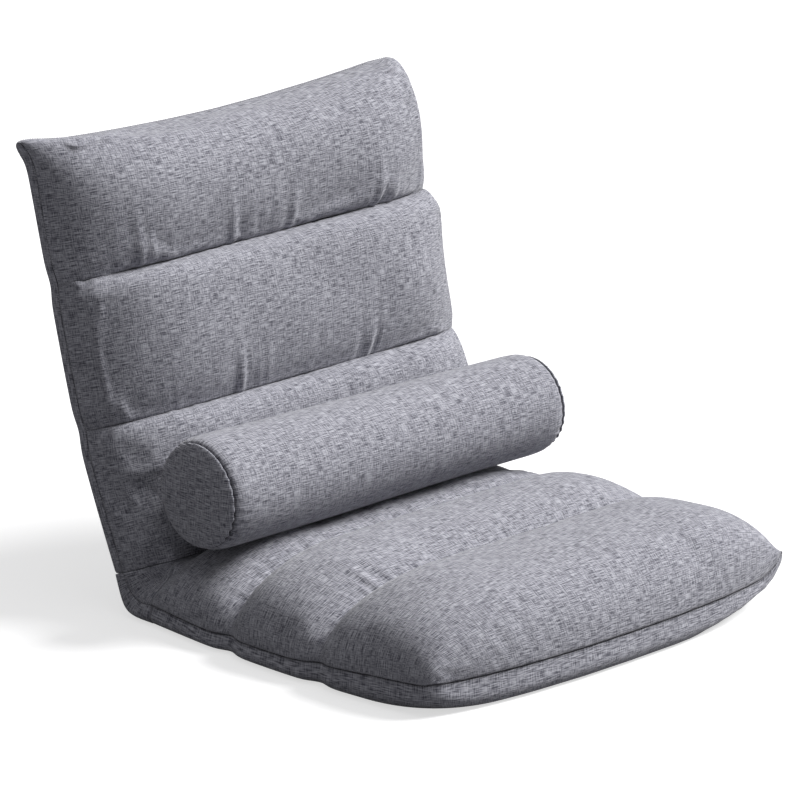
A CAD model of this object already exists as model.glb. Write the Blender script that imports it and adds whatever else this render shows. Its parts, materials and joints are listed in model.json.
"""Looks of a folding floor chair with a quilted seat, a quilted back and a bolster.

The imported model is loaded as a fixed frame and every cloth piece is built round
it. Sizes are in metres in the row frame: +Z up, the chair faces -Y, X across.
"""
import json
import math

import bmesh
import bpy
import numpy as np
from bpy.props import FloatProperty, FloatVectorProperty, IntProperty, PointerProperty
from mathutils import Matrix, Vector
from mathutils.bvhtree import BVHTree


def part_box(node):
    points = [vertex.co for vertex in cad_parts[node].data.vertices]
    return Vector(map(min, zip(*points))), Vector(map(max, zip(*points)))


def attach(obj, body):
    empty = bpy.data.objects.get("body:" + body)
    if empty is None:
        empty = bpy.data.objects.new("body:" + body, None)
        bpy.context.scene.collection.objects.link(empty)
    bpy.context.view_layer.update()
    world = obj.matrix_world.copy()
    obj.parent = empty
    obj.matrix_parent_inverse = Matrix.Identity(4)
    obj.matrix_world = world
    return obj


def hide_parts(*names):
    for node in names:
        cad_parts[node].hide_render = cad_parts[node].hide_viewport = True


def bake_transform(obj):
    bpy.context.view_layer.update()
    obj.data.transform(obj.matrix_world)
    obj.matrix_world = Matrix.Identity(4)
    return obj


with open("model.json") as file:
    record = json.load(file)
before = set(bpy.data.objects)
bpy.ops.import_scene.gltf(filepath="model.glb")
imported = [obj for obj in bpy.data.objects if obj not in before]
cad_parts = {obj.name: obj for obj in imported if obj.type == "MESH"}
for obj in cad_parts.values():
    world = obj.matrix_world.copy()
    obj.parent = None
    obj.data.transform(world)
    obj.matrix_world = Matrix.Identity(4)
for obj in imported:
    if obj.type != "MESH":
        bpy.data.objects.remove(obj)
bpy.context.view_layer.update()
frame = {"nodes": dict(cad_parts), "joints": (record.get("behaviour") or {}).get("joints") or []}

bl_info = {
    "name": "Quilted Floor Chair",
    "version": (1, 0, 0),
    "blender": (4, 5, 0),
    "location": "View3D > Sidebar > Floor Chair",
    "description": "Builds the cloth, seams, bolster and finishes of a folding floor chair",
    "category": "Object",
}

JOINTS = {joint["name"]: joint for joint in frame["joints"]}
HINGE = Vector(JOINTS["back_fold"]["pos_m"])
REST_TURN = math.radians(JOINTS["back_fold"]["range_deg"][1])    # the back stands this far up from flat
FOLD_HALF = (math.pi - REST_TURN) / 2                           # half the angle between seat and back
BOLSTER_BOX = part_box("bolster_cover")
BOLSTER_MIDDLE = (BOLSTER_BOX[0] + BOLSTER_BOX[1]) / 2 - Vector((0.0, 0.0, 0.008))   # sunk into the cushions
LAYER_GAP = 0.0004          # between two pieces of cloth that are sewn face to face


def linear(hex_colour):
    """An sRGB hex colour as linear RGBA."""
    parts = [int(hex_colour[i:i + 2], 16) / 255 for i in (0, 2, 4)]
    return [c / 12.92 if c <= 0.04045 else ((c + 0.055) / 1.055) ** 2.4 for c in parts] + [1.0]


def colour(name, description, hex_colour):
    return FloatVectorProperty(name=name, description=description, default=linear(hex_colour),
                               size=4, min=0.0, max=1.0, subtype="COLOR")


def length(name, description, default):
    return FloatProperty(name=name, description=description, default=default, min=0.0, unit="LENGTH")


def pair(name, about, value):
    return FloatVectorProperty(name=name, description=about, default=value, size=2, subtype="XYZ",
                               unit="LENGTH")


class CoverSizes(bpy.types.PropertyGroup):
    """Shape of the two quilted halves."""
    seat_valley: length("Seat valley depth", "How deep the seat's sewn valleys lie under the channel tops",
                        0.038)
    back_valley: length("Back valley depth", "How deep the back's sewn valleys lie under the channel tops",
                        0.030)
    pucker: length("Pucker height", "Height of the small gathers beside a sewn valley", 0.0016)
    seam_pinch: length("Seam pinch", "How far the cloth is drawn in at a plain seam", 0.0009)
    seat_ears: pair("Seat ears", "How far the seat's left and right sewn corners stand out", (0.004, 0.007))
    back_ears: pair("Back ears", "How far the back's left and right sewn corners stand out", (0.020, 0.004))
    seat_lifts: pair("Seat corner lifts", "How much the left and right front corners turn up", (0.002, 0.018))
    seat_tips: pair("Seat corner radii", "Rounding of the left and right front corners", (0.012, 0.014))
    back_tips: pair("Back corner radii", "Rounding of the left and right top corners", (0.016, 0.034))
    slack: length("Slack", "How far the simulated cloth may move from its cut shape", 0.003)
    stitch: length("Stitch length", "Length of one stitch with its gap", 0.0034)
    thread: length("Thread", "Thickness of the sewing thread", 0.0005)


class BolsterSizes(bpy.types.PropertyGroup):
    """Shape of the loose roll."""
    gathers: IntProperty(name="Gathers", description="Small pleats round each end seam", default=34, min=0)
    pleat: length("Pleat height", "Height of the pleats beside the end seams", 0.0007)
    taper: FloatProperty(name="Taper", default=0.035, min=0.0, max=0.2,
                         description="Share by which the roll is stuffed fuller at its left end")
    tilt: length("Tilt", "How much lower the right end sinks", 0.0035)
    stretch: FloatProperty(name="Stretch", description="Share by which the right end stands further out",
                           default=0.050, min=0.0, max=0.1)


class ClothColours(bpy.types.PropertyGroup):
    """Yarn and trim colours."""
    light_yarn: colour("Light yarn", "Pale slub threads of the linen weave", "B6B6BE")
    mid_yarn: colour("Middle yarn", "Main colour of the linen weave", "8E8E96")
    dark_yarn: colour("Dark yarn", "Dark slub threads of the linen weave", "52525C")
    thread: colour("Thread", "Sewing thread in the seams", "3B3A40")
    zip_tape: colour("Zip", "Tape and coil of the zip", "6F6F77")


# Surfaces

def bezier(a, b, c, d, count):
    """Points of a cubic curve without its last one."""
    k = np.linspace(0.0, 1.0, count, endpoint=False)[:, None]
    a, b, c, d = (np.array(p, float) for p in (a, b, c, d))
    return (1 - k) ** 3 * a + 3 * k * (1 - k) ** 2 * b + 3 * k * k * (1 - k) * c + k ** 3 * d


def lengths(points):
    """Distance of each point from the first, along the line."""
    steps = np.linalg.norm(np.diff(points, axis=0), axis=1)
    return np.concatenate([[0.0], np.cumsum(steps)])


def resample(points, places):
    """Points of a line at the given distances along it."""
    along = lengths(points)
    return np.stack([np.interp(places, along, points[:, i]) for i in range(points.shape[1])], 1)


def stations(total, step, fine):
    """Distances from 0 to total: the fine ones next to both ends, even ones between."""
    count = max(2, round((total - 2 * fine[-1]) / step))
    middle = np.linspace(fine[-1], total - fine[-1], count + 1)
    return np.concatenate([[0.0], fine[:-1], middle, total - np.array(fine[-2::-1]), [total]])


def ripple(place, waves, seed):
    """A fixed irregular wave along a line, about -1 to 1."""
    random = np.random.RandomState(seed)
    out = np.zeros_like(place)
    for wave in waves:
        out += np.sin(2 * np.pi * place / (wave * random.uniform(0.85, 1.15)) + random.uniform(0, 6.28))
    return out / math.sqrt(len(waves))


def smooth_step(value):
    value = np.clip(value, 0.0, 1.0)
    return value * value * (3 - 2 * value)


class Half:
    """One quilted half, laid out from the hinge axis: s away from it, t above it."""

    def __init__(self, length, crowns, valleys, seam, bulge, flare, pull, under, placing, depth, seed,
                 proud_end, fullness):
        self.length, self.crowns, self.valleys, self.seam = length, crowns, valleys, seam
        self.fullness = fullness
        self.swell = 0.15 if proud_end else 1.0         # how much the side band stands out
        self.notch = 0.003 if proud_end else 0.007      # how far the sides pull in at a valley
        self.steeper = 0.05 if proud_end else 0.35      # how much leaner the sides are at a valley
        self.bulge, self.flare, self.pull, self.under = bulge, flare, pull, under
        self.placing, self.depth, self.seed, self.proud_end = placing, depth, seed, proud_end

    def level(self, s):
        """Height of the side seam at a distance from the axis."""
        return float(np.interp(s, *self.seam))

    def profile(self):
        """Lines of the three channels from the crease to the outer seam.

        Each channel is fuller at its end that faces up, as in the photograph: the rear
        end of a seat channel and the upper end of a back one.
        """
        out = []
        start = CREASE
        for i, crown in enumerate(self.crowns):
            if i < 2:
                end = (self.valleys[i], min(crown, self.crowns[i + 1]) - self.depth)
            else:
                end = (self.length, self.level(self.length))
            rising = FULL if not self.proud_end and i else ROUND_OFF if i == 0 else GENTLE
            if i < 2:
                falling = FULL if self.proud_end else GENTLE
            else:
                falling = HEAD_END if self.proud_end else ROUND_OFF
            nearer = FIRST_NEARER if i == 0 else HEAD_NEARER if i == 2 and self.proud_end else 0.0
            place = 0.5 + 0.35 * (falling - rising) - nearer
            top = (start[0] + (end[0] - start[0]) * place, crown)
            lean = CREASE_LEAN if i == 0 else (0.0, 1.0)
            rise, drop = top[1] - start[1], top[1] - end[1]
            first = (start[0] + lean[0] * rise * rising, start[1] + lean[1] * rise * rising)
            before = (top[0] - (top[0] - first[0]) * rising, top[1])
            after = (top[0] + (end[0] - top[0]) * falling, top[1])
            last = (end[0], end[1] + drop * falling)
            line = np.concatenate([bezier(start, first, before, top, 60),
                                   bezier(top, after, last, end, 60), [end]])
            away = line - np.array(self.under)
            far = np.linalg.norm(away, axis=1, keepdims=True)
            keep = BOLSTER_RADIUS + BOLSTER_PRESS
            line = np.where(far < keep, np.array(self.under) + away * keep / far, line)
            out.append(line)
            start = end
        return out

    def skin(self):
        """Grid of points (rows, columns, 3) in s-t layout, its flat cloth places and its seam weights."""
        rows, flat, valley = [], [], []
        gone = 0.0
        for line in self.profile():
            total = lengths(line)[-1]
            places = stations(total, ROW_STEP, (0.0015, 0.0040, 0.0080))
            rows.append(resample(line, places)[:-1])
            flat.append(gone + places[:-1])
            gone += total
            valley.append(gone)
        rows.append(np.array([[self.length, self.level(self.length)]]))
        flat.append([gone])
        rows, flat = np.concatenate(rows), np.concatenate(flat)
        return np.array([self.across(s, t) for s, t in rows]), flat, valley[:2]

    def across(self, s, t):
        """A row of points over the width, evenly spaced along the cloth."""
        far = s / self.length
        grow = self.flare * max(0.0, (far - 0.55) / 0.45) ** 2
        grow += self.bulge * math.sin(math.pi * min(1.0, max(0.0, far)))
        nearest = min(abs(s - v) for v in self.valleys)
        reach = HALF_WIDTH + grow - self.notch * math.exp(-(nearest / NOTCH_REACH) ** 2)
        fullness = self.fullness * (1 + self.steeper * math.exp(-(nearest / STEEPER_REACH) ** 2))
        if not self.proud_end:
            fullness *= 1 + 0.6 * max(0.0, 1 - s / 0.16)
        swing = np.linspace(0.0, np.pi / 2, 120)
        sides = []
        for share, power in ((LEFT_SHOULDER, fullness), (SHOULDER, fullness)):
            shoulder = share * HALF_WIDTH
            wide = shoulder + (reach - shoulder) * np.sin(swing)
            fall = np.clip(np.cos(swing), 0.0, 1.0) ** power
            fall[-1] = 0.0
            flat = [[0.0, 1.0], [shoulder * 0.5, 1.0]]
            sides.append(np.concatenate([flat, np.stack([wide, fall], 1)]))
        line = np.concatenate([sides[0][::-1] * [-1, 1], sides[1][1:]])
        base = self.level(s)
        x = line[:, 0]
        # the filling lies over the frame and its hinges, so the cloth never sinks to them
        over_frame = min(t, FRAME_TOP + HINGE_TOP * math.exp(-(s / 0.06) ** 2))
        frame_side = base + (over_frame - base) * smooth_step((FRAME_SIDE - np.abs(x)) / 0.022)
        height = np.maximum(base + (t - base) * line[:, 1], frame_side)
        if t > base + 0.01:
            away = math.dist((s, t), self.under) - BOLSTER_RADIUS - BOLSTER_PRESS
            share = max(0.0, min(1.0, (s - 0.030) / 0.060, away / 0.020))
            height = height + 0.004 * share * (1 - (x / HALF_WIDTH) ** 2) * (line[:, 1] > 0)
        tail = max(0.0, (far - 0.75) / 0.25)
        shift = self.pull * tail ** 2 * np.abs(x / HALF_WIDTH) ** (1.8 if self.pull < 0 else 2.6)
        points = np.stack([x, s - shift, height], 1)
        total = lengths(points)[-1]
        places = stations(total, COLUMN_STEP, (0.0012, 0.0030, 0.0060))
        want = np.interp(np.linspace(0, 1, COLUMNS), np.linspace(0, 1, len(places)), places)
        return resample(points, want)

    def place(self, points):
        """From the s-t layout to the row frame."""
        return self.placing(np.asarray(points, float))


def seat_place(p):
    return np.stack([p[..., 0], HINGE.y - p[..., 1], HINGE.z + p[..., 2]], -1)


def back_place(p):
    """Bend the upper back forward of the lower, then turn it up about the hinge."""
    x, s, t = p[..., 0], p[..., 1], p[..., 2]
    radius = (BEND_TO - BEND_FROM) / BACK_BEND
    phi = np.clip((s - BEND_FROM) / radius, 0.0, BACK_BEND)
    over = np.maximum(s - BEND_TO, 0.0)
    before = np.minimum(s, BEND_FROM)
    along = before + (radius - t) * np.sin(phi) + over * np.cos(phi)
    height = radius - (radius - t) * np.cos(phi) + over * np.sin(phi)
    y = along * math.cos(REST_TURN) - height * math.sin(REST_TURN)
    z = along * math.sin(REST_TURN) + height * math.cos(REST_TURN)
    return np.stack([x, HINGE.y + y, HINGE.z + z], -1)


# Driving sizes of the halves
HALF_WIDTH = 0.270
SEAT_LENGTH = 0.466
BACK_LENGTH = 0.478
SEAT_CROWNS = (0.056, 0.066, 0.071)
BACK_CROWNS = (0.056, 0.058, 0.050)
SEAT_VALLEYS = (0.146, 0.282)
BACK_VALLEYS = (0.176, 0.335)
SEAT_SEAM = ((0.0, 0.10, 0.24, 0.36, 0.466), (-0.013, -0.017, -0.015, -0.006, -0.002))
BACK_SEAM = ((0.0, 0.40, 0.482), (-0.020, -0.020, -0.017))
BACK_BEND = math.radians(5.0)
BEND_FROM = 0.120
BEND_TO = 0.200
CREASE_RADIUS = 0.033
CREASE = (CREASE_RADIUS * math.cos(FOLD_HALF) + 0.0010, CREASE_RADIUS * math.sin(FOLD_HALF))
CREASE_LEAN = (math.cos(FOLD_HALF) * 1.08, math.sin(FOLD_HALF))
ROUND_OFF, FULL, GENTLE, HEAD_END = 0.66, 0.86, 0.50, 0.58      # how full a channel's ends are
FIRST_NEARER, HEAD_NEARER = 0.06, 0.03      # share by which these crowns lie nearer the crease
LEFT_SHOULDER, SHOULDER = 0.50, 0.55      # share of the half width at which each side starts to fall
FRAME_TOP, HINGE_TOP, FRAME_SIDE = 0.0130, 0.0150, 0.258
SEAT_FULLNESS, BACK_FULLNESS = 0.72, 0.97
BOLSTER_RADIUS = 0.0600
BOLSTER_PRESS = 0.0015
NOTCH_REACH, STEEPER_REACH = 0.014, 0.026      # how far from a valley its sides are changed
ROW_STEP = 0.0058           # spacing of the grid away from and along the crease
COLUMN_STEP = 0.0056
COLUMNS = 121
BOTTOM = -HINGE.z
ZIP_PLACE = 0.088           # distance of the zip from the hinge axis


def half_of(which, depth):
    """The seat or the back, with the bolster's middle line in its own layout."""
    rear, up = BOLSTER_MIDDLE.y - HINGE.y, BOLSTER_MIDDLE.z - HINGE.z
    if which == "seat":
        return Half(SEAT_LENGTH, SEAT_CROWNS, SEAT_VALLEYS, SEAT_SEAM, 0.015, 0.0, 0.030,
                    (-rear, up), seat_place, depth, 11, False, SEAT_FULLNESS)
    under = (rear * math.cos(REST_TURN) + up * math.sin(REST_TURN),
             up * math.cos(REST_TURN) - rear * math.sin(REST_TURN))
    return Half(BACK_LENGTH, BACK_CROWNS, BACK_VALLEYS, BACK_SEAM, 0.008, 0.006, -0.012,
                under, back_place, depth, 23, True, BACK_FULLNESS)


def grid_normals(grid):
    """Outward unit normals of a grid of points."""
    along = np.gradient(grid, axis=0)
    over = np.gradient(grid, axis=1)
    normal = np.cross(over, along)
    size = np.linalg.norm(normal, axis=2, keepdims=True)
    return normal / np.maximum(size, 1e-12)


def placed(name, data):
    """A new object in the scene for a mesh, lamp or camera."""
    obj = bpy.data.objects.new(name, data)
    bpy.context.scene.collection.objects.link(obj)
    return obj


def mesh_piece(name, points, faces, uvs, marks=None):
    """A smooth mesh object from points, faces, a cloth place and a seam mark for each point."""
    mesh = bpy.data.meshes.new(name)
    mesh.from_pydata([tuple(p) for p in points], [], faces)
    layer = mesh.uv_layers.new(name="cloth")
    corner = np.empty(len(mesh.loops), np.int32)
    mesh.loops.foreach_get("vertex_index", corner)
    uvs = np.asarray(uvs, np.float32)
    layer.data.foreach_set("uv", uvs[corner].ravel())
    if marks is not None:
        mark = mesh.attributes.new("seam", "FLOAT", "POINT")
        mark.data.foreach_set("value", np.asarray(marks, np.float32))
    return placed(name, mesh)


def faces_between(rows, closed=False):
    """Four-sided faces between neighbouring rows of point numbers."""
    faces = []
    for one, two in zip(rows, rows[1:]):
        count = len(one)
        for i in range(count if closed else count - 1):
            j = (i + 1) % count
            faces.append((one[i], one[j], two[j], two[i]))
    return faces


def billow(obj, cap, frames=20):
    """Let the filling press the cloth out between its seams by cloth simulation.

    Points are held by the attribute named hold, and none moves further than cap.
    """
    mesh = obj.data
    held = mesh.attributes["hold"].data
    group = obj.vertex_groups.new(name="hold")
    weights = [min(1.0, max(0.0, item.value)) for item in held]
    for i, weight in enumerate(weights):
        group.add([i], weight, "REPLACE")
    before = np.empty(len(mesh.vertices) * 3)
    mesh.vertices.foreach_get("co", before)
    modifier = obj.modifiers.new("billow", "CLOTH")
    cloth = modifier.settings
    cloth.quality = 6
    cloth.mass = 0.02
    cloth.tension_stiffness = cloth.compression_stiffness = 12.0
    cloth.shear_stiffness = 4.0
    cloth.bending_stiffness = 0.6
    cloth.shrink_min = -0.010            # the cover is cut fuller than its filling
    cloth.use_pressure = True
    cloth.uniform_pressure_force = 4.0
    cloth.vertex_group_mass = "hold"
    cloth.effector_weights.gravity = 0.0
    modifier.collision_settings.use_collision = False
    modifier.point_cache.frame_start = 1
    modifier.point_cache.frame_end = frames
    scene = bpy.context.scene
    for number in range(1, frames + 1):
        scene.frame_set(number)
    apply_modifiers(obj)
    mesh = obj.data
    after = np.empty(len(mesh.vertices) * 3)
    mesh.vertices.foreach_get("co", after)
    moved = (after - before).reshape(-1, 3)
    far = np.linalg.norm(moved, axis=1, keepdims=True)
    moved *= (cap * np.tanh(far / cap)) / np.maximum(far, 1e-9) * (1 - np.array(weights))[:, None]
    mesh.vertices.foreach_set("co", (before.reshape(-1, 3) + moved).ravel())
    obj.vertex_groups.clear()
    scene.frame_set(1)


def finish_mesh(obj, material, levels=1, slack=0.0):
    """Turn the faces outwards, simulate where the cloth has slack, subdivide and give the material."""
    bm = bmesh.new()
    bm.from_mesh(obj.data)
    bmesh.ops.remove_doubles(bm, verts=bm.verts, dist=2e-5)
    bmesh.ops.recalc_face_normals(bm, faces=bm.faces)
    if bm.calc_volume(signed=True) < 0:
        bmesh.ops.reverse_faces(bm, faces=bm.faces)
    bm.to_mesh(obj.data)
    bm.free()
    if slack:
        billow(obj, slack)
    if levels:
        modifier = obj.modifiers.new("rounding", "SUBSURF")
        modifier.levels = levels
        modifier.render_levels = levels
        apply_modifiers(obj)
    close_openings(obj.data)
    obj.data.shade_smooth()
    obj.data.materials.clear()
    obj.data.materials.append(material)
    return obj


def close_openings(mesh):
    """Close the hidden flat openings of a cushion, so that it is one closed body."""
    bm = bmesh.new()
    bm.from_mesh(mesh)
    rim = [e for e in bm.edges if e.is_boundary]
    if rim:
        loop = {v for e in rim for v in e.verts}
        hub = bm.verts.new(sum((v.co for v in loop), Vector()) / len(loop))
        for e in rim:
            bm.faces.new((e.verts[0], e.verts[1], hub))
        bmesh.ops.recalc_face_normals(bm, faces=bm.faces)
    if bm.calc_volume(signed=True) < 0:
        bmesh.ops.reverse_faces(bm, faces=bm.faces)
    bm.to_mesh(mesh)
    bm.free()


def apply_modifiers(obj):
    """Replace the object's mesh by what its modifiers make of it."""
    bpy.context.view_layer.update()
    evaluated = obj.evaluated_get(bpy.context.evaluated_depsgraph_get())
    mesh = bpy.data.meshes.new_from_object(evaluated)
    obj.modifiers.clear()
    obj.data = mesh
    mesh.name = obj.name


def settings():
    return bpy.context.scene.floor_chair


# Materials

def add(tree, kind, links=(), **values):
    """Add a node, set its values or inputs and link others into it."""
    made = tree.nodes.new(kind)
    for key, value in values.items():
        if hasattr(made, key):
            setattr(made, key, value)
        else:
            made.inputs[key.replace("_", " ").title()].default_value = value
    for socket, source in links:
        tree.links.new(source, made.inputs[socket])
    return made


def surface(name, roughness, metallic=0.0):
    """A new material and its tree and shader."""
    material = bpy.data.materials.new(name)
    material.use_nodes = True
    tree = material.node_tree
    shader = tree.nodes["Principled BSDF"]
    shader.inputs["Roughness"].default_value = roughness
    shader.inputs["Metallic"].default_value = metallic
    return material, tree, shader


def relief(tree, shader, height, strength, distance):
    """Bump a surface by a height texture, with the distance in metres."""
    bump = add(tree, "ShaderNodeBump", [("Height", height)], strength=strength, distance=distance)
    tree.links.new(bump.outputs[0], shader.inputs["Normal"])


def yarn(tree, place, across_mm, along_mm, seed, turned):
    """Streaks of slub yarn: thin across the thread and long along it."""
    scale = (1000 / along_mm, 1000 / across_mm, 1.0) if turned else (1000 / across_mm, 1000 / along_mm, 1.0)
    mapped = add(tree, "ShaderNodeMapping", [("Vector", place)])
    mapped.inputs["Scale"].default_value = scale
    mapped.inputs["Location"].default_value = (seed, seed * 1.7, 0.0)
    return add(tree, "ShaderNodeTexNoise", [("Vector", mapped.outputs[0])], noise_dimensions="2D",
               scale=1.0, detail=0.3, roughness=0.6).outputs["Fac"]


def maths(tree, operation, one, two, clamp=False):
    """One math node on two sockets or numbers."""
    made = add(tree, "ShaderNodeMath", operation=operation, use_clamp=clamp)
    for i, value in enumerate((one, two)):
        if isinstance(value, (int, float)):
            made.inputs[i].default_value = value
        else:
            tree.links.new(value, made.inputs[i])
    return made.outputs[0]


def linen():
    """Heather linen-look polyester: dark and pale slub yarns in a plain weave.

    The yarn is about 0.5 mm, too fine for the render, so the threads are drawn 0.8 mm
    thick and 7 to 12 mm long, with slubs of 0.9 to 1.5 mm by 40 mm over them. The
    surface is matt with a soft fibre sheen at its edges.
    """
    cloth = settings().colours
    material, tree, shader = surface("heather_linen_weave", 0.92)
    place = add(tree, "ShaderNodeUVMap", uv_map="cloth").outputs[0]
    warp = yarn(tree, place, 0.80, 7.0, 3.1, False)
    weft = yarn(tree, place, 0.80, 12.0, 7.7, True)
    warp_long = yarn(tree, place, 1.5, 40.0, 13.3, False)
    weft_long = yarn(tree, place, 0.9, 40.0, 19.9, True)
    threads = maths(tree, "ADD", maths(tree, "MULTIPLY", warp, 0.8), maths(tree, "MULTIPLY", weft, 1.2))
    slubs = maths(tree, "ADD", warp_long, weft_long)
    total = maths(tree, "ADD", maths(tree, "MULTIPLY", threads, 0.75), maths(tree, "MULTIPLY", slubs, 0.25))
    level = maths(tree, "MULTIPLY", total, 0.5)
    patch = add(tree, "ShaderNodeTexNoise", [("Vector", place)], noise_dimensions="2D", scale=28.0,
                detail=2.0).outputs["Fac"]
    level = maths(tree, "ADD", level, maths(tree, "MULTIPLY", maths(tree, "SUBTRACT", patch, 0.5), 0.05))
    made = add(tree, "ShaderNodeValToRGB", [(0, level)])
    elements = made.color_ramp.elements
    elements.new(0.5)
    for element, spot, tint in zip(elements, (0.35, 0.50, 0.65),
                                   (cloth.dark_yarn, cloth.mid_yarn, cloth.light_yarn)):
        element.position = spot
        element.color = tint
    seam = add(tree, "ShaderNodeAttribute", attribute_name="seam").outputs["Fac"]
    shade = maths(tree, "SUBTRACT", 1.0, maths(tree, "MULTIPLY", seam, 0.62))
    darker = add(tree, "ShaderNodeMix", data_type="RGBA", blend_type="MULTIPLY")
    darker.inputs["Factor"].default_value = 1.0
    tree.links.new(made.outputs["Color"], darker.inputs["A"])
    tree.links.new(shade, darker.inputs["B"])
    tree.links.new(darker.outputs["Result"], shader.inputs["Base Color"])
    relief(tree, shader, total, 0.35, 0.0006)
    shader.inputs["Sheen Weight"].default_value = 0.25
    shader.inputs["Sheen Roughness"].default_value = 0.5
    shader.inputs["Specular IOR Level"].default_value = 0.2
    return material


def kept_material(name, make):
    """The material of that name, made the first time it is asked for."""
    return bpy.data.materials.get(name) or make()


def cloth_material():
    return kept_material("heather_linen_weave", linen)


# Quilted halves

def skin_points(half, sizes):
    """Shape the skin: channels, corner ears, gathers beside the valleys and the seam pinch."""
    grid, flat, valleys = half.skin()
    high, wide = grid.shape[:2]
    column = np.linspace(-1.0, 1.0, wide)[None, :]
    widest = max(lengths(row)[-1] for row in grid)
    cloth_x = np.repeat(column * widest / 2, high, 0)
    cloth_y = np.repeat(flat[:, None], wide, 1)
    normal = grid_normals(grid)
    share = np.abs(grid[..., 0]) / HALF_WIDTH
    rise = np.zeros((high, wide))
    for i, valley in enumerate(valleys):
        off = cloth_y - valley
        for side, seed in ((1, 3), (-1, 5)):
            gathers = ripple(cloth_x, (0.014, 0.020, 0.029), half.seed + seed + 10 * i)
            patches = ripple(cloth_x, (0.11, 0.19), half.seed + 40 + seed + i)
            strength = np.clip(0.25 + 0.75 * patches, 0.0, 1.3)
            near = np.where(off * side >= 0, np.abs(off), 1.0)
            slope = (side > 0) == half.proud_end
            reach = 0.017 if slope else 0.008
            size = sizes.pucker * (1.5 if slope else 0.8)
            rise += gathers * strength * size * (near / reach) * np.exp(1 - near / reach)
    uneven = ripple(cloth_x, (0.16, 0.23), half.seed + 70) * ripple(cloth_y, (0.12, 0.17), half.seed + 71)
    rise += uneven * 0.0012
    edge = np.minimum(np.abs(np.abs(column) - 1) * widest / 2, np.abs(flat[-1] - cloth_y))
    rise *= smooth_step(edge / 0.03) * smooth_step(cloth_y / 0.03)
    grid = grid + normal * rise[..., None]
    ear = smooth_step((cloth_y / flat[-1] - 0.86) / 0.14) ** 2 * smooth_step((share - 0.78) / 0.22) ** 2
    right = grid[..., 0] > 0
    reach = np.where(right, *reversed(sizes.back_ears if half.proud_end else sizes.seat_ears))
    grid[..., 0] += np.sign(grid[..., 0]) * reach * ear
    grid[..., 1] += 0.3 * reach * ear
    if not half.proud_end:
        lift = np.where(right, *reversed(sizes.seat_lifts))
        grid[..., 2] += lift * ear * smooth_step((half.crowns[2] - grid[..., 2]) / 0.05)
    for side, radius in zip((-1, 1), sizes.back_tips if half.proud_end else sizes.seat_tips):
        round_corner(grid, side, radius)
    return grid, cloth_x, cloth_y, edge, valleys


def round_corner(grid, side, radius):
    """Round a far corner of the grid in plan, so that its ear ends in a soft tab."""
    tip = grid[-1, 0 if side < 0 else -1]
    tip_x, tip_s = abs(tip[0]), tip[1]
    u = (side * grid[..., 0] - (tip_x - radius)) / radius
    v = (grid[..., 1] - (tip_s - radius)) / radius
    inside = (u > 0) & (v > 0)
    u, v = np.clip(u, 0.0, 1.0), np.clip(v, 0.0, 1.0)
    new_x = side * (tip_x - radius + radius * u * np.sqrt(1 - v * v / 2))
    new_s = tip_s - radius + radius * v * np.sqrt(1 - u * u / 2)
    grid[..., 0] = np.where(inside, new_x, grid[..., 0])
    grid[..., 1] = np.where(inside, new_s, grid[..., 1])


def build_skin(name, half, sizes, material):
    """The quilted cover with its filling, closed under the seam."""
    grid, cloth_x, cloth_y, edge, valleys = skin_points(half, sizes)
    high, wide = grid.shape[:2]
    pinch = sizes.seam_pinch * np.exp(-(edge / 0.0022))
    normal = grid_normals(grid)
    inward = normal.copy()
    inward[..., 2] = 0.0
    grid = grid - inward * pinch[..., None]
    points = list(half.place(grid).reshape(-1, 3))
    uvs = list(np.stack([cloth_x, cloth_y], 2).reshape(-1, 2))
    sewn = np.min([np.abs(cloth_y - valley) for valley in valleys], 0)
    marks = list(np.maximum(np.exp(-(edge / 0.0014)), np.exp(-(sewn / 0.0016))).ravel())
    faces = faces_between([range(r * wide, (r + 1) * wide) for r in range(high)])
    border = [r * wide for r in range(high)]
    border += [(high - 1) * wide + c for c in range(1, wide)]
    border += [r * wide + wide - 1 for r in range(high - 2, -1, -1)]
    flat = grid.reshape(-1, 3)
    inner = []
    for v in border:
        x, s, t = flat[v]
        keep = 1 - 0.006 / max(abs(x), 0.05)
        inner.append(len(points))
        points.append(half.place(np.array([x * keep, s - 0.006 * (s > half.length * 0.9), t])))
        uvs.append(uvs[v])
        marks.append(1.0)
    faces += faces_between([border, inner])
    # the end wall runs from the crease row down to the seam's level
    steps = 5
    above = list(range(wide))
    for k in range(1, steps + 1):
        row = []
        for c in range(wide):
            share = k / steps
            down = (points[inner[0]] * (1 - c / (wide - 1)) + points[inner[-1]] * (c / (wide - 1)))
            if k == steps and c in (0, wide - 1):
                row.append(inner[0] if c == 0 else inner[-1])
                continue
            row.append(len(points))
            points.append(points[c] * (1 - share) + down * share)
            uvs.append((cloth_x[0, c], -0.01 * k))
            marks.append(0.0)
        faces += faces_between([above, row])
        above = row
    obj = mesh_piece(name, points, faces, uvs, marks)
    loose = smooth_step((np.minimum(edge, sewn) - 0.001) / 0.010) * smooth_step((cloth_y - 0.03) / 0.05)
    hold = np.ones(len(points))
    hold[:high * wide] = 1 - loose.ravel()
    holds = obj.data.attributes.new("hold", "FLOAT", "POINT")
    holds.data.foreach_set("value", hold.astype(np.float32))
    return finish_mesh(obj, material, slack=sizes.slack), grid


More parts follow.
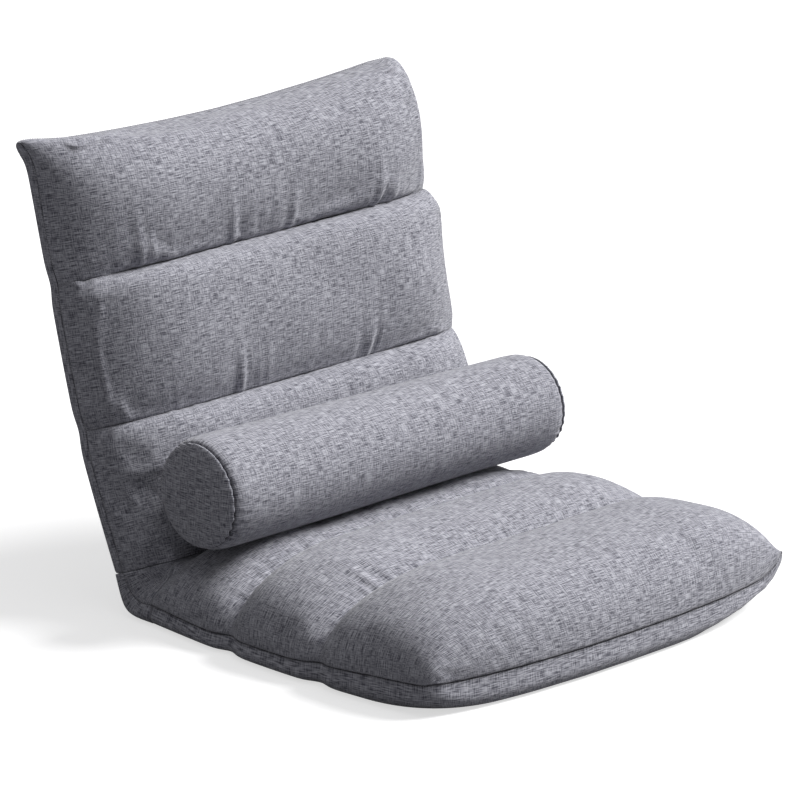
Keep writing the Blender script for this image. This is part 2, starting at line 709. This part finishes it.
def band_shape(sizes, swell):
    """Side band under the seam: share of the way down, inset and share of the corner cut."""
    pinch, lean = sizes.seam_pinch, 1 - swell
    return [(0.0, pinch, 0.0), (0.03, pinch * 0.5, 0.0), (0.08, 0.0, 0.0), (0.25, -0.0015 * swell, 0.10),
            (0.45, -0.0035 * swell, 0.30), (0.62, -0.0045 * swell, 0.55), (0.78, -0.0030 * swell, 0.80),
            (0.90, 0.0018 * lean, 1.0), (0.97, 0.0035 + 0.0030 * lean, 1.0),
            (1.0, 0.0100 + 0.0040 * lean, 1.0)]


def seam_line(half, grid):
    """The seam from the left rear corner round the far edge to the right rear, and where it turns."""
    sides = [grid[:, 0], grid[-1], grid[::-1, -1]]
    out = []
    for stretch in sides:
        total = lengths(stretch)[-1]
        count = max(4, round(total / COLUMN_STEP))
        out.append(resample(stretch, np.linspace(0.0, total, count + 1)))
    side = len(out[0]) - 1
    return np.concatenate([out[0], out[1][1:], out[2][1:]]), side


def crossing(one, two):
    """Where the end of one line in the plane crosses the start of another: the place on each."""
    p, q = one[:-1, None, :2], two[None, :-1, :2]
    r, t = np.diff(one[:, :2], axis=0)[:, None], np.diff(two[:, :2], axis=0)[None]
    cross = r[..., 0] * t[..., 1] - r[..., 1] * t[..., 0]
    cross = np.where(np.abs(cross) < 1e-15, 1e-15, cross)
    gap = q - p
    u = (gap[..., 0] * t[..., 1] - gap[..., 1] * t[..., 0]) / cross
    v = (gap[..., 0] * r[..., 1] - gap[..., 1] * r[..., 0]) / cross
    hits = np.argwhere((u >= 0) & (u <= 1) & (v >= 0) & (v <= 1))
    if not len(hits):
        return len(one) - 2, 1
    i, j = hits[-1]
    return i + u[i, j], j + v[i, j]


def drawn_in(line, side, inset, roundings):
    """The seam line drawn in by inset, its left and right corners rounded off over the given lengths."""
    count = len(line)
    stretches = []
    for stretch in (line[:side + 1], line[side:count - side], line[count - 1 - side:]):
        tangent = np.gradient(stretch[:, :2], axis=0)
        tangent /= np.linalg.norm(tangent, axis=1, keepdims=True)
        moved = stretch.copy()
        moved[:, 0] += tangent[:, 1] * inset
        moved[:, 1] -= tangent[:, 0] * inset
        first, last = moved[0].copy(), moved[-1].copy()
        first[:2] -= tangent[0] * 0.006
        last[:2] += tangent[-1] * 0.006
        stretches.append([moved, first, last])
    left, front, right = (np.concatenate([[first], moved, [last]]) for moved, first, last in stretches)
    end, begin = crossing(left, front)
    other, start = crossing(front, right)
    index = [np.linspace(1, end, side + 1), np.linspace(begin, other, count - 2 * side),
             np.linspace(start, len(right) - 2, side + 1)]
    parts = [np.stack([np.interp(at, np.arange(len(part)), part[:, i]) for i in range(3)], 1)
             for at, part in zip(index, (left, front, right))]
    ring = np.concatenate([parts[0], parts[1][1:-1], parts[2]])
    for corner, rounding in zip((side, count - 1 - side), roundings):
        reach = round(rounding / COLUMN_STEP)
        share = np.linspace(0.0, 1.0, 2 * reach + 1)[:, None]
        a, b, c = ring[corner - reach], ring[corner].copy(), ring[corner + reach]
        if reach:
            arc = (1 - share) ** 2 * a + 2 * share * (1 - share) * b + share ** 2 * c
            ring[corner - reach:corner + reach + 1] = arc
    return ring


def build_tray(name, half, grid, sizes, material, corner_cuts, corner_lift):
    """The plain panel under the seam: side band, rounded edge and flat panel."""
    line, side = seam_line(half, grid)
    count = len(line)
    around = lengths(line[:, :2])
    fall = line[:, 2] - LAYER_GAP - BOTTOM
    points, uvs, marks, rings = [], [], [], []
    shape = [(0.0, 0.006, 0.0)] + band_shape(sizes, half.swell)
    for k, (down, inset, cut_share) in enumerate(shape):
        ring = drawn_in(line, side, inset, [cut * cut_share for cut in corner_cuts])
        ring[:, 2] = ring[:, 2] - LAYER_GAP - (ring[:, 2] - LAYER_GAP - BOTTOM) * down
        ring[:, 2] += corner_lift * down ** 2 * np.exp(-((around - around[count - 1 - side]) / 0.075) ** 2)
        rings.append(list(range(len(points), len(points) + count)))
        points += list(ring)
        uvs += list(np.stack([around, 1.0 + fall * down + inset], 1))
        marks += [1.0 if k < 2 else 0.35 if k == 2 else 0.0] * count
    faces = faces_between(rings)
    # flat panel: rows from side to side, drawn in until they reach the far edge
    last = rings[-1]
    for mirrored in (last, rings[0]):
        rows = []
        for r in range(side + 1):
            a, b = mirrored[r], mirrored[count - 1 - r]
            if r == side:
                rows.append(mirrored[side:count - side])
                continue
            row = [a]
            total = count - 2 * side
            for c in range(1, total - 1):
                share = c / (total - 1)
                far = points[mirrored[side + c]]
                point = points[a] * (1 - share) + points[b] * share
                lead = (r / side) ** 3
                chord = points[mirrored[side]] * (1 - share) + points[mirrored[count - 1 - side]] * share
                bow = far - chord
                row.append(len(points))
                points.append(point + bow * lead)
                points[-1][2] = max(points[-1][2], BOTTOM)
                uvs.append(np.array([point[0] + 3.0, point[1] + bow[1] * lead + 3.0]))
                marks.append(0.0)
            rows.append(row + [b])
        faces += faces_between(rows)
        if mirrored is last:
            below = rows[0]
        else:
            above = rows[0]
    # rear end wall between the two flat rows
    steps = [above]
    for ring in rings[1:-1]:
        row = [ring[0]]
        for c in range(1, len(above) - 1):
            share = c / (len(above) - 1)
            row.append(len(points))
            points.append(points[ring[0]] * (1 - share) + points[ring[-1]] * share)
            uvs.append(np.array([points[-1][0], 2.9]))
            marks.append(0.0)
        steps.append(row + [ring[-1]])
    steps.append(below)
    faces += faces_between(steps)
    obj = mesh_piece(name, list(half.place(np.array(points))), faces, uvs, marks)
    return finish_mesh(obj, material)


def end_section(half, grid, sizes, ahead):
    """Closed cross-section of a half at the crease: skin, left band, bottom and right band, as (x, s, t)."""
    top = grid[0]
    band = []
    for down, inset, _ in band_shape(sizes, half.swell)[1:]:
        level = top[0, 2] - (top[0, 2] - BOTTOM) * down
        band.append((abs(top[0, 0]) - inset, level))
    bottom = np.linspace(band[-1][0], -band[-1][0], 40)[1:-1]
    points = [(p[0], p[2]) for p in top] + band + [(x, BOTTOM) for x in bottom]
    points += [(-x, level) for x, level in reversed(band)]
    return np.array([(x, top[0, 1] - ahead, level) for x, level in points])


def build_waist(seat, seat_grid, back, back_grid, sizes, material):
    """Cloth that runs on round the lower rear corner and through the crease, between seat and back."""
    one = end_section(seat, seat_grid, sizes, LAYER_GAP)
    two = end_section(back, back_grid, sizes, LAYER_GAP)
    count = len(one)
    steps = 20
    level = (one[:, 2] + two[:, 2]) / 2
    start, end = seat.place(one), back.place(two)
    corner = math.radians(270.0) + REST_TURN / 2
    reach = -level / math.cos(REST_TURN / 2)
    bend = start.copy()
    bend[:, 1] = HINGE.y + reach * math.cos(corner)
    bend[:, 2] = HINGE.z + reach * math.sin(corner)
    bend[:, 0] = (one[:, 0] + two[:, 0]) / 2
    points, uvs, marks = [], [], []
    around = lengths(one)
    edge = np.minimum(np.arange(count), np.abs(np.arange(count) - (COLUMNS - 1)))
    for k in range(steps + 1):
        u = k / steps
        row = (1 - u) ** 3 * start + 3 * u * (1 - u) * bend + u ** 3 * end
        high = smooth_step((level - BOTTOM) / 0.03)
        drawn = 0.0035 * math.sin(math.pi * u) ** 2 * high * (np.abs(row[:, 0]) > 0.2)
        row[:, 0] -= np.sign(row[:, 0]) * drawn
        points += list(row)
        uvs += list(np.stack([around, np.full(count, 9.0 + 0.06 * u)], 1))
        marks += list(np.exp(-edge / 0.8))
    faces = faces_between([range(k * count, (k + 1) * count) for k in range(steps + 1)], closed=True)
    obj = mesh_piece("waist_cloth", points, faces, uvs, marks)
    return finish_mesh(obj, material)


def sewing_tree(material):
    """Geometry nodes that set one small rounded body after another along a line."""
    tree = bpy.data.node_groups.new("repeated_along_line", "GeometryNodeTree")
    for name, kind in (("Geometry", "Geometry"), ("Pitch", "Float"), ("Size", "Vector"), ("Up", "Vector")):
        tree.interface.new_socket(name=name, in_out="INPUT", socket_type="NodeSocket" + kind)
    tree.interface.new_socket(name="Geometry", in_out="OUTPUT", socket_type="NodeSocketGeometry")
    given = add(tree, "NodeGroupInput").outputs
    line = add(tree, "GeometryNodeMeshToCurve", [("Mesh", given["Geometry"])])
    places = add(tree, "GeometryNodeResampleCurve", [("Curve", line.outputs[0]), ("Length", given["Pitch"])],
                 mode="LENGTH")
    tangent = add(tree, "GeometryNodeInputTangent")
    turned = add(tree, "FunctionNodeAxesToRotation", [(0, tangent.outputs[0]), (1, given["Up"])],
                 primary_axis="X", secondary_axis="Z")
    ball = add(tree, "GeometryNodeMeshUVSphere", segments=8, rings=5, radius=0.5)
    shaped = add(tree, "GeometryNodeTransform", [("Geometry", ball.outputs[0]), ("Scale", given["Size"])])
    spread = add(tree, "GeometryNodeInstanceOnPoints", [("Points", places.outputs[0]),
                 ("Instance", shaped.outputs[0]), ("Rotation", turned.outputs[0])])
    real = add(tree, "GeometryNodeRealizeInstances", [(0, spread.outputs[0])])
    done = add(tree, "GeometryNodeSetMaterial", [("Geometry", real.outputs[0])])
    done.inputs["Material"].default_value = material
    add(tree, "NodeGroupOutput", [(0, done.outputs[0])])
    return tree


def repeat_along(name, lines, material, pitch, size, up=(0.3, -0.8, 0.5)):
    """A plain mesh of small bodies, a pitch apart along each line of points."""
    points, edges = [], []
    for line in lines:
        start = len(points)
        points += [tuple(p) for p in line]
        edges += [(i, i + 1) for i in range(start, len(points) - 1)]
    mesh = bpy.data.meshes.new(name)
    mesh.from_pydata(points, edges, [])
    obj = placed(name, mesh)
    modifier = obj.modifiers.new("repeat", "NODES")
    tree = sewing_tree(material)
    values = {"Pitch": pitch, "Size": size, "Up": up}
    for item in tree.interface.items_tree:
        if item.in_out == "INPUT" and item.name in values:
            item.default_value = values[item.name]
    modifier.node_group = tree
    for item in tree.interface.items_tree:
        if item.in_out == "INPUT" and item.name in values:
            modifier[item.identifier] = values[item.name]
    apply_modifiers(obj)
    obj.data.shade_smooth()
    return obj


def on_surface(obj, line, above):
    """The points of a line, moved onto the object's surface."""
    mesh = obj.data
    tree = BVHTree.FromPolygons([v.co for v in mesh.vertices], [p.vertices for p in mesh.polygons])
    out = []
    for point in line:
        place, normal, _, _ = tree.find_nearest(Vector(point))
        out.append(place + normal * above)
    return out


def thread_material():
    """Spun polyester sewing thread, darker than the cloth: matt with a faint sheen."""
    material, _, shader = surface("spun_polyester_thread", 0.7)
    shader.inputs["Base Color"].default_value = settings().colours.thread
    shader.inputs["Sheen Weight"].default_value = 0.2
    return material


def sew(name, half, skin, sizes, body):
    """Stitches down in both channel seams and along the outer seam of a half."""
    grid, _, cloth_y, _, valleys = skin_points(half, sizes)
    lines = []
    for valley in valleys:
        row = int(np.argmin(np.abs(cloth_y[:, 0] - valley)))
        lines.append(on_surface(skin, half.place(grid[row, 4:-4]), 0.0001))
    border = np.concatenate([grid[:, 0], grid[-1, 1:], grid[-2::-1, -1]])
    border[:, 2] -= 0.0003
    lines.append([Vector(p) for p in half.place(border)])
    thread = kept_material("spun_polyester_thread", thread_material)
    stitches = repeat_along(name, lines, thread, sizes.stitch,
                            (sizes.stitch * 0.62, sizes.thread, sizes.thread))
    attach(stitches, body)


# Metal, webbing and the zip

def powder_coat():
    """Satin black powder coat on steel tube: a faint orange peel breaks up its highlight."""
    material, tree, shader = surface("satin_black_powder_coat", 0.42)
    shader.inputs["Base Color"].default_value = linear("242527")
    place = add(tree, "ShaderNodeTexCoord").outputs["Object"]
    peel = add(tree, "ShaderNodeTexNoise", [("Vector", place)], scale=700.0, detail=1.0)     # 1.4 mm dimples
    relief(tree, shader, peel.outputs["Fac"], 0.15, 0.0003)
    return material


def brushed(name, hex_colour, roughness, grain):
    """Bare or plated steel whose fine rolling grain varies its gloss."""
    material, tree, shader = surface(name, roughness, 1.0)
    shader.inputs["Base Color"].default_value = linear(hex_colour)
    place = add(tree, "ShaderNodeTexCoord").outputs["Object"]
    mapped = add(tree, "ShaderNodeMapping", [("Vector", place)])
    mapped.inputs["Scale"].default_value = (400.0, 60.0, 1500.0)    # 2.5, 17 and 0.7 mm
    noise = add(tree, "ShaderNodeTexNoise", [("Vector", mapped.outputs[0])], scale=1.0, detail=2.0)
    gloss = maths(tree, "ADD", roughness - grain / 2, maths(tree, "MULTIPLY", noise.outputs["Fac"], grain))
    tree.links.new(gloss, shader.inputs["Roughness"])
    return material


def zinc_plate():
    """Stamped steel with bright zinc plating: a pale, slightly cloudy metal."""
    return brushed("zinc_plated_steel", "BDBFC0", 0.38, 0.18)


def hard_steel():
    """Turned and hardened steel of pins, pawls, springs and rivets."""
    return brushed("hardened_steel", "9A9B9C", 0.30, 0.14)


def nickel():
    """Nickel plated die-cast zip slider."""
    return brushed("nickel_plated_zinc", "A6A29A", 0.25, 0.10)


def webbing():
    """Woven elastic webbing: 2 mm ribs across a black polypropylene band, matt."""
    material, tree, shader = surface("elastic_webbing", 0.85)
    place = add(tree, "ShaderNodeTexCoord").outputs["Object"]
    ribs = add(tree, "ShaderNodeTexWave", [("Vector", place)], bands_direction="X", scale=157.0,
               distortion=0.4, detail=1.0)
    made = add(tree, "ShaderNodeMix", [("Factor", ribs.outputs["Fac"])], data_type="RGBA")
    made.inputs["A"].default_value = linear("202023")
    made.inputs["B"].default_value = linear("3B3B3F")
    tree.links.new(made.outputs["Result"], shader.inputs["Base Color"])
    relief(tree, shader, ribs.outputs["Fac"], 0.5, 0.0004)
    return material


def foam():
    """Open-cell cushion foam, hidden under the cloth: pale, matt, 1 mm cells."""
    material, tree, shader = surface("open_cell_foam", 0.95)
    shader.inputs["Base Color"].default_value = linear("D9CFA8")
    place = add(tree, "ShaderNodeTexCoord").outputs["Object"]
    cells = add(tree, "ShaderNodeTexVoronoi", [("Vector", place)], scale=1000.0)
    relief(tree, shader, cells.outputs["Distance"], 0.4, 0.0005)
    return material


def zip_cloth():
    """Woven polyester zip tape and its nylon coil, a shade darker than the cover."""
    material, tree, shader = surface("polyester_zip_tape", 0.7)
    shader.inputs["Base Color"].default_value = settings().colours.zip_tape
    return material


KEPT_LOOKS = {"tube": ("satin_black_powder_coat", powder_coat), "plate": ("zinc_plated_steel", zinc_plate),
              "steel": ("hardened_steel", hard_steel), "webbing": ("elastic_webbing", webbing),
              "slider": ("nickel_plated_zinc", nickel), "foam": ("open_cell_foam", foam),
              "zip": ("polyester_zip_tape", zip_cloth)}


class ChairOperator:
    """What the building operators share."""
    bl_options = {"REGISTER", "UNDO"}


class FLOORCHAIR_OT_seat(ChairOperator, bpy.types.Operator):
    """Build the quilted seat cushion and its plain base panel"""
    bl_idname = "floor_chair.seat"
    bl_label = "Seat cushion"

    def execute(self, context):
        sizes = settings().covers
        half = half_of("seat", sizes.seat_valley)
        skin, grid = build_skin("seat_top_cushion", half, sizes, cloth_material())
        base = build_tray("seat_base_panel", half, grid, sizes, cloth_material(), (0.080, 0.190), 0.024)
        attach(skin, "seat")
        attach(base, "seat")
        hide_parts("seat_cover_top", "seat_pad_rear", "seat_pad_middle", "seat_pad_front")
        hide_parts("seat_cover_bottom", "seat_slab")
        sew("seat_stitches", half, skin, sizes, "seat")
        return {"FINISHED"}


class FLOORCHAIR_OT_back(ChairOperator, bpy.types.Operator):
    """Build the quilted backrest cushion and its plain rear panel"""
    bl_idname = "floor_chair.back"
    bl_label = "Back cushion"

    def execute(self, context):
        sizes = settings().covers
        half = half_of("back", sizes.back_valley)
        skin, grid = build_skin("back_front_cushion", half, sizes, cloth_material())
        rear = build_tray("back_rear_panel", half, grid, sizes, cloth_material(), (0.030, 0.030), 0.0)
        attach(skin, "back")
        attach(rear, "back")
        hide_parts("back_cover_front", "back_pad_lower", "back_pad_middle", "back_pad_head")
        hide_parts("back_cover_rear", "back_slab")
        sew("back_stitches", half, skin, sizes, "back")
        return {"FINISHED"}


class FLOORCHAIR_OT_zip(ChairOperator, bpy.types.Operator):
    """Build the zip's tape and coil in the rear panel, through which the filling goes in"""
    bl_idname = "floor_chair.zip"
    bl_label = "Zip"

    def execute(self, context):
        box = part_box("zip_tape")
        reach = box[1].x
        half = half_of("back", settings().covers.back_valley)
        tape, rows = [], []
        edge = [(-0.0067, -0.0002), (-0.0067, 0.0005), (-0.0020, 0.0006), (0.0020, 0.0006), (0.0067, 0.0005),
                (0.0067, -0.0002)]
        count = 120
        for i in range(count + 1):
            x = reach * (2 * i / count - 1)
            rows.append(range(len(tape), len(tape) + len(edge)))
            tape += [(x, ZIP_PLACE + s, BOTTOM - t) for s, t in edge]
        faces = faces_between(rows, closed=True) + [tuple(rows[0]), tuple(reversed(rows[-1]))]
        places = half.place(np.array(tape))
        uvs = np.stack([places[:, 0], np.zeros(len(places))], 1)
        obj = mesh_piece("zip_tape_cloth", places, faces, uvs)
        finish_mesh(obj, kept_material(*KEPT_LOOKS["zip"]), 0)
        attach(obj, "back")
        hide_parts("zip_tape")
        line = np.stack([np.linspace(-reach + 0.004, reach - 0.004, 60), np.full(60, ZIP_PLACE),
                         np.full(60, BOTTOM - 0.0007)], 1)
        out = half.place(np.array([[0.0, ZIP_PLACE, BOTTOM - 1.0]]))[0] - half.place(
            np.array([[0.0, ZIP_PLACE, BOTTOM]]))[0]
        coil = repeat_along("zip_coil", [half.place(line)], obj.data.materials[0], 0.0016,
                            (0.0011, 0.0040, 0.0008), tuple(out))
        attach(coil, "back")
        return {"FINISHED"}


class FLOORCHAIR_OT_hardware(ChairOperator, bpy.types.Operator):
    """Give the folding frame, its ratchets, webbing and foam their real finishes"""
    bl_idname = "floor_chair.hardware"
    bl_label = "Hardware finishes"

    def execute(self, context):
        for name in frame["nodes"]:
            for place in bpy.data.objects[name].material_slots:
                look = place.material.name.split(".")[0] if place.material else ""
                if look in KEPT_LOOKS:
                    place.material = kept_material(*KEPT_LOOKS[look])
        return {"FINISHED"}


class FLOORCHAIR_OT_waist(ChairOperator, bpy.types.Operator):
    """Build the cloth round the lower rear corner, which bends as the back folds"""
    bl_idname = "floor_chair.waist"
    bl_label = "Waist cloth"

    def execute(self, context):
        sizes = settings().covers
        halves = [half_of("seat", sizes.seat_valley), half_of("back", sizes.back_valley)]
        grids = [skin_points(half, sizes)[0] for half in halves]
        waist = build_waist(halves[0], grids[0], halves[1], grids[1], sizes, cloth_material())
        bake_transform(waist)
        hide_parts("waist_gusset")
        return {"FINISHED"}


class FLOORCHAIR_OT_bolster(ChairOperator, bpy.types.Operator):
    """Build the loose bolster with gathered round ends"""
    bl_idname = "floor_chair.bolster"
    bl_label = "Bolster"

    def execute(self, context):
        sizes = settings().bolster
        tube = self.tube(sizes)
        ends = [self.end(sizes, "left", -1), self.end(sizes, "right", 1)]
        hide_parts("bolster_cover", "bolster_filling")
        for piece in [tube] + ends:
            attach(piece, "bolster")
        return {"FINISHED"}

    sides = 144         # points round the roll

    def turn(self, profile, sizes, marks, flat_end):
        """Turn (x, radius) about the bolster's middle line, with pleats near the seams."""
        sides = self.sides
        angle = np.linspace(0, 2 * np.pi, sides, endpoint=False)
        points, uvs, seam, rings = [], [], [], []
        for i, (x, radius) in enumerate(profile):
            near = marks[i]
            pleats = np.sin(angle * sizes.gathers + 0.8 * np.sin(angle * 3)) * np.clip(
                0.55 + 0.6 * np.sin(angle * 2 + 1.0) + 0.5 * np.sin(angle * 5 + 2.0), 0.0, 1.4)
            lump = 0.0006 * np.sin(angle * 2 + 0.7 + x * 9) + 0.0004 * np.sin(angle * 3 - x * 14)
            r = radius + sizes.pleat * near * pleats + lump * min(1.0, radius / 0.03)
            r = r * (1 - sizes.taper * x / 0.25)
            x = x * (1 + sizes.stretch * (x > 0))
            rings.append(range(len(points), len(points) + sides))
            points += list(np.stack([np.full(sides, x), BOLSTER_MIDDLE.y + r * np.cos(angle),
                                     BOLSTER_MIDDLE.z - sizes.tilt * x / 0.25 + r * np.sin(angle)], 1))
            if flat_end:
                uvs += list(np.stack([5.0 + r * np.cos(angle), 5.0 + r * np.sin(angle)], 1))
            else:
                uvs += list(np.stack([x + 0 * angle, 7.0 + angle * BOLSTER_RADIUS], 1))
            seam += [1.0 if near > 1.5 else 0.0] * sides
        return points, uvs, seam, rings

    def tube(self, sizes):
        half = (BOLSTER_BOX[1].x - BOLSTER_BOX[0].x) / 2
        radius = (BOLSTER_BOX[1].z - BOLSTER_BOX[0].z) / 2
        # how far in from the end, how far under the full radius, and share of the pleats
        drawn = ((0.0, 0.0150, 0.0), (0.0004, 0.0062, 2.0), (0.0022, 0.0036, 1.0), (0.0060, 0.0016, 0.8),
                 (0.012, 0.0004, 0.4), (0.022, 0.0, 0.1))
        ends = [(-half + x, radius - r, m) for x, r, m in drawn]
        count = 40
        middle = [(-half + 0.022 + (2 * half - 0.044) * i / count, radius, 0.0) for i in range(1, count)]
        full = ends + middle + [(-x, r, m) for x, r, m in reversed(ends)]
        points, uvs, seam, rings = self.turn(
            [(x + BOLSTER_MIDDLE.x, r) for x, r, _ in full], sizes, [m for _, _, m in full], False)
        faces = faces_between(rings, closed=True)
        obj = mesh_piece("bolster_tube_cover", points, faces, uvs, seam)
        fix_wrap(obj, 2 * math.pi * BOLSTER_RADIUS)
        return finish_mesh(obj, cloth_material(), levels=1)

    def end(self, sizes, label, side):
        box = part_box("bolster_end_" + label)
        radius = (BOLSTER_BOX[1].z - BOLSTER_BOX[0].z) / 2
        half = (BOLSTER_BOX[1].x - BOLSTER_BOX[0].x) / 2
        reach = max(abs(box[0].x), abs(box[1].x)) - half
        shape = [(0.0004, radius - 0.0150, 0.0), (0.0004, radius - 0.0060, 2.0),
                 (0.0016, radius - 0.0044, 1.2), (0.0040, radius - 0.0052, 1.0),
                 (0.0066, radius - 0.0095, 0.7), (0.0084, radius - 0.016, 0.45),
                 (0.0094, radius - 0.025, 0.2), (0.0098, radius * 0.40, 0.05), (0.0098, radius * 0.18, 0.0)]
        scale = reach / 0.0098
        profile = [(side * (half + x * scale), r) for x, r, _ in shape]
        points, uvs, seam, rings = self.turn(profile, sizes, [m for _, _, m in shape], True)
        faces = faces_between(rings, closed=True)
        centre = len(points)
        points.append(np.mean([points[i] for i in rings[-1]], 0))
        uvs.append(np.array([5.0, 5.0]))
        seam.append(0.0)
        for i in range(self.sides):
            faces.append((rings[-1][i], rings[-1][(i + 1) % self.sides], centre))
        obj = mesh_piece("bolster_end_panel_" + label, points, faces, uvs, seam)
        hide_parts("bolster_end_" + label)
        return finish_mesh(obj, cloth_material(), levels=1)


def fix_wrap(obj, around):
    """Give the faces where a turned piece closes cloth places that don't run backwards."""
    layer = obj.data.uv_layers["cloth"]
    for poly in obj.data.polygons:
        vs = [layer.data[i].uv.y for i in poly.loop_indices]
        if max(vs) - min(vs) > around / 2 and len(vs) == 4:
            for i in poly.loop_indices:
                if layer.data[i].uv.y < min(vs) + around / 2:
                    layer.data[i].uv.y += around


class FLOORCHAIR_OT_stage(ChairOperator, bpy.types.Operator):
    """Set up the floor, the soft lights and the camera"""
    bl_idname = "floor_chair.stage"
    bl_label = "Stage"

    def execute(self, context):
        self.floor()
        self.lights(context.scene)
        self.camera(context.scene)
        context.scene.view_settings.view_transform = "Standard"
        return {"FINISHED"}

    def floor(self):
        mesh = bpy.data.meshes.new("floor")
        reach = 12.0
        low = -0.0004
        corners = [(-reach, -reach, low), (reach, -reach, low), (reach, reach, low), (-reach, reach, low)]
        mesh.from_pydata(corners, [], [(0, 1, 2, 3)])
        floor = placed("floor", mesh)
        material, tree, shader = surface("studio_floor", 0.9)
        # white to the camera with the chair's shadow on it, dull to the light that it throws back
        shader.inputs["Base Color"].default_value = linear("6A6A6C")
        seen = add(tree, "ShaderNodeLightPath").outputs["Is Camera Ray"]
        bright = add(tree, "ShaderNodeBsdfDiffuse")
        bright.inputs["Color"].default_value = (0.55, 0.55, 0.55, 1.0)
        glow = add(tree, "ShaderNodeEmission")
        glow.inputs["Strength"].default_value = 0.62
        both = add(tree, "ShaderNodeAddShader", [(0, bright.outputs[0]), (1, glow.outputs[0])])
        mixed = add(tree, "ShaderNodeMixShader", [(0, seen), (1, shader.outputs[0]), (2, both.outputs[0])])
        tree.links.new(mixed.outputs[0], tree.nodes["Material Output"].inputs["Surface"])
        mesh.materials.append(material)

    def lights(self, scene):
        world = bpy.data.worlds.new("studio")
        scene.world = world
        world.use_nodes = True
        tree = world.node_tree
        tree.nodes.clear()
        path = add(tree, "ShaderNodeLightPath")
        seen = maths(tree, "MAXIMUM", path.outputs["Is Camera Ray"], path.outputs["Is Glossy Ray"])
        seen = maths(tree, "MAXIMUM", seen, path.outputs["Is Transmission Ray"])
        soft = add(tree, "ShaderNodeBackground")
        soft.inputs["Color"].default_value = (0.97, 0.97, 1.0, 1.0)
        soft.inputs["Strength"].default_value = 0.22
        white = add(tree, "ShaderNodeBackground")
        white.inputs["Strength"].default_value = 1.0
        mixed = add(tree, "ShaderNodeMixShader", [(0, seen), (1, soft.outputs[0]), (2, white.outputs[0])])
        add(tree, "ShaderNodeOutputWorld", [("Surface", mixed.outputs[0])])
        self.lamp("key", (0.95, -0.50, 1.0), 26.0, 4.6)
        self.lamp("top", (0.20, -0.10, 1.0), 60.0, 0.40)

    def lamp(self, name, towards, softness, strength):
        """A far lamp whose light comes from the given direction."""
        data = bpy.data.lights.new(name, "SUN")
        data.angle = math.radians(softness)
        data.energy = strength
        lamp = placed(name, data)
        lamp.location = Vector(towards) * 2.0
        lamp.rotation_euler = Vector(towards).to_track_quat("Z", "Y").to_euler()

    def camera(self, scene):
        """A long lens far away, at the photograph's angle."""
        turn, lift, distance = math.radians(-45.4), math.radians(17.4), 7.0
        focal = 6537.0          # in pixels of an 800 pixel frame
        look = Vector((0.0, 0.035, 0.2))
        aim = (38.2, 24.4)      # where that point lies, right and down of the frame's middle
        back = Vector((math.sin(turn) * math.cos(lift), -math.cos(turn) * math.cos(lift), math.sin(lift)))
        right = Vector((math.cos(turn), math.sin(turn), 0.0))
        up = back.cross(right)
        data = bpy.data.cameras.new("camera")
        data.sensor_width = 36.0
        data.lens = focal / 800 * data.sensor_width
        data.clip_end = 100.0
        camera = placed("camera", data)
        camera.location = look + back * distance
        target = look - right * (aim[0] * distance / focal) + up * (aim[1] * distance / focal)
        camera.rotation_euler = (target - camera.location).to_track_quat("-Z", "Y").to_euler()
        scene.camera = camera


class FloorChairSettings(bpy.types.PropertyGroup):
    """All the settings of the chair's looks."""
    covers: PointerProperty(type=CoverSizes)
    bolster: PointerProperty(type=BolsterSizes)
    colours: PointerProperty(type=ClothColours)


OPERATORS = (FLOORCHAIR_OT_stage, FLOORCHAIR_OT_seat, FLOORCHAIR_OT_back, FLOORCHAIR_OT_waist,
             FLOORCHAIR_OT_bolster, FLOORCHAIR_OT_zip, FLOORCHAIR_OT_hardware)


class FLOORCHAIR_PT_panel(bpy.types.Panel):
    """Lists the building steps and their settings"""
    bl_idname = "FLOORCHAIR_PT_panel"
    bl_label = "Floor Chair"
    bl_space_type = "VIEW_3D"
    bl_region_type = "UI"
    bl_category = "Floor Chair"

    def draw(self, context):
        for group in ("covers", "bolster", "colours"):
            box = self.layout.box()
            values = getattr(context.scene.floor_chair, group)
            for name in values.bl_rna.properties.keys():
                if name not in {"name", "rna_type"}:
                    box.prop(values, name)
        for operator in OPERATORS:
            self.layout.operator(operator.bl_idname)


CLASSES = (CoverSizes, BolsterSizes, ClothColours, FloorChairSettings) + OPERATORS + (FLOORCHAIR_PT_panel,)


def register():
    for cls in CLASSES:
        bpy.utils.register_class(cls)
    bpy.types.Scene.floor_chair = PointerProperty(type=FloorChairSettings)


def unregister():
    del bpy.types.Scene.floor_chair
    for cls in reversed(CLASSES):
        bpy.utils.unregister_class(cls)


def main():
    register()
    for operator in OPERATORS:
        group, name = operator.bl_idname.split(".")
        getattr(getattr(bpy.ops, group), name)()


if __name__ == "__main__":
    main()
